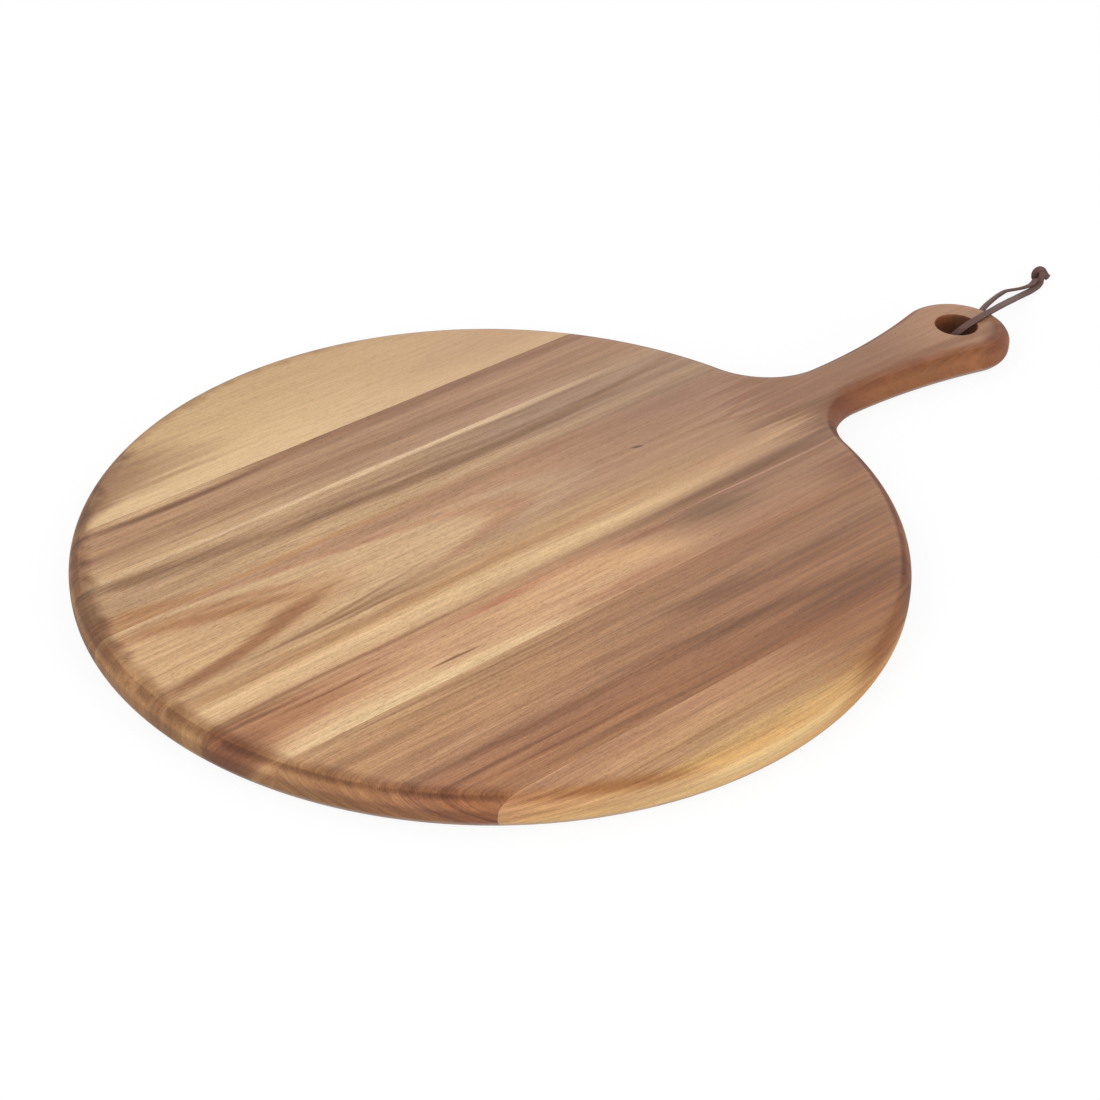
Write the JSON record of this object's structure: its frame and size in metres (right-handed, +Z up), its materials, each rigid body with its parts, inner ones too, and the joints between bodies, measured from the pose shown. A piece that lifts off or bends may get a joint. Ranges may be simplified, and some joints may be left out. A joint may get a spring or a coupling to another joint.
{
  "type": "round wooden serving board",
  "caption": "Round wooden paddle board for serving: a flat disc glued up from staves, with rounded edges, a waisted handle, a hanging hole and a knotted leather lace.",
  "frame": {"origin": "centre of the disc, on the underside that the board rests on", "axes": "+X along the handle from the disc's centre to the tip, +Z up out of the serving face"},
  "size_m": [0.5646, 0.355, 0.0164],
  "materials": {
    "stave_1_wood": "oiled acacia sapwood, pale tan",
    "stave_2_wood": "oiled acacia, pink-brown",
    "stave_3_wood": "oiled acacia, grey-brown",
    "stave_4_wood": "oiled acacia, orange-brown with a cathedral figure",
    "stave_5_wood": "oiled acacia, reddish",
    "stave_6_wood": "oiled acacia, brown",
    "stave_7_wood": "oiled acacia, golden with a sapwood edge",
    "lace_leather": "dark brown leather thong"
  },
  "bodies": {
    "root": {"stave_1_back": "stave_1_wood", "stave_2": "stave_2_wood", "stave_3": "stave_3_wood", "stave_4_handle": "stave_4_wood", "stave_5": "stave_5_wood", "stave_6": "stave_6_wood", "stave_7_front": "stave_7_wood", "lace_over": "lace_leather", "lace_under": "lace_leather", "lace_knot": "lace_leather"}
  },
  "joints": []
}
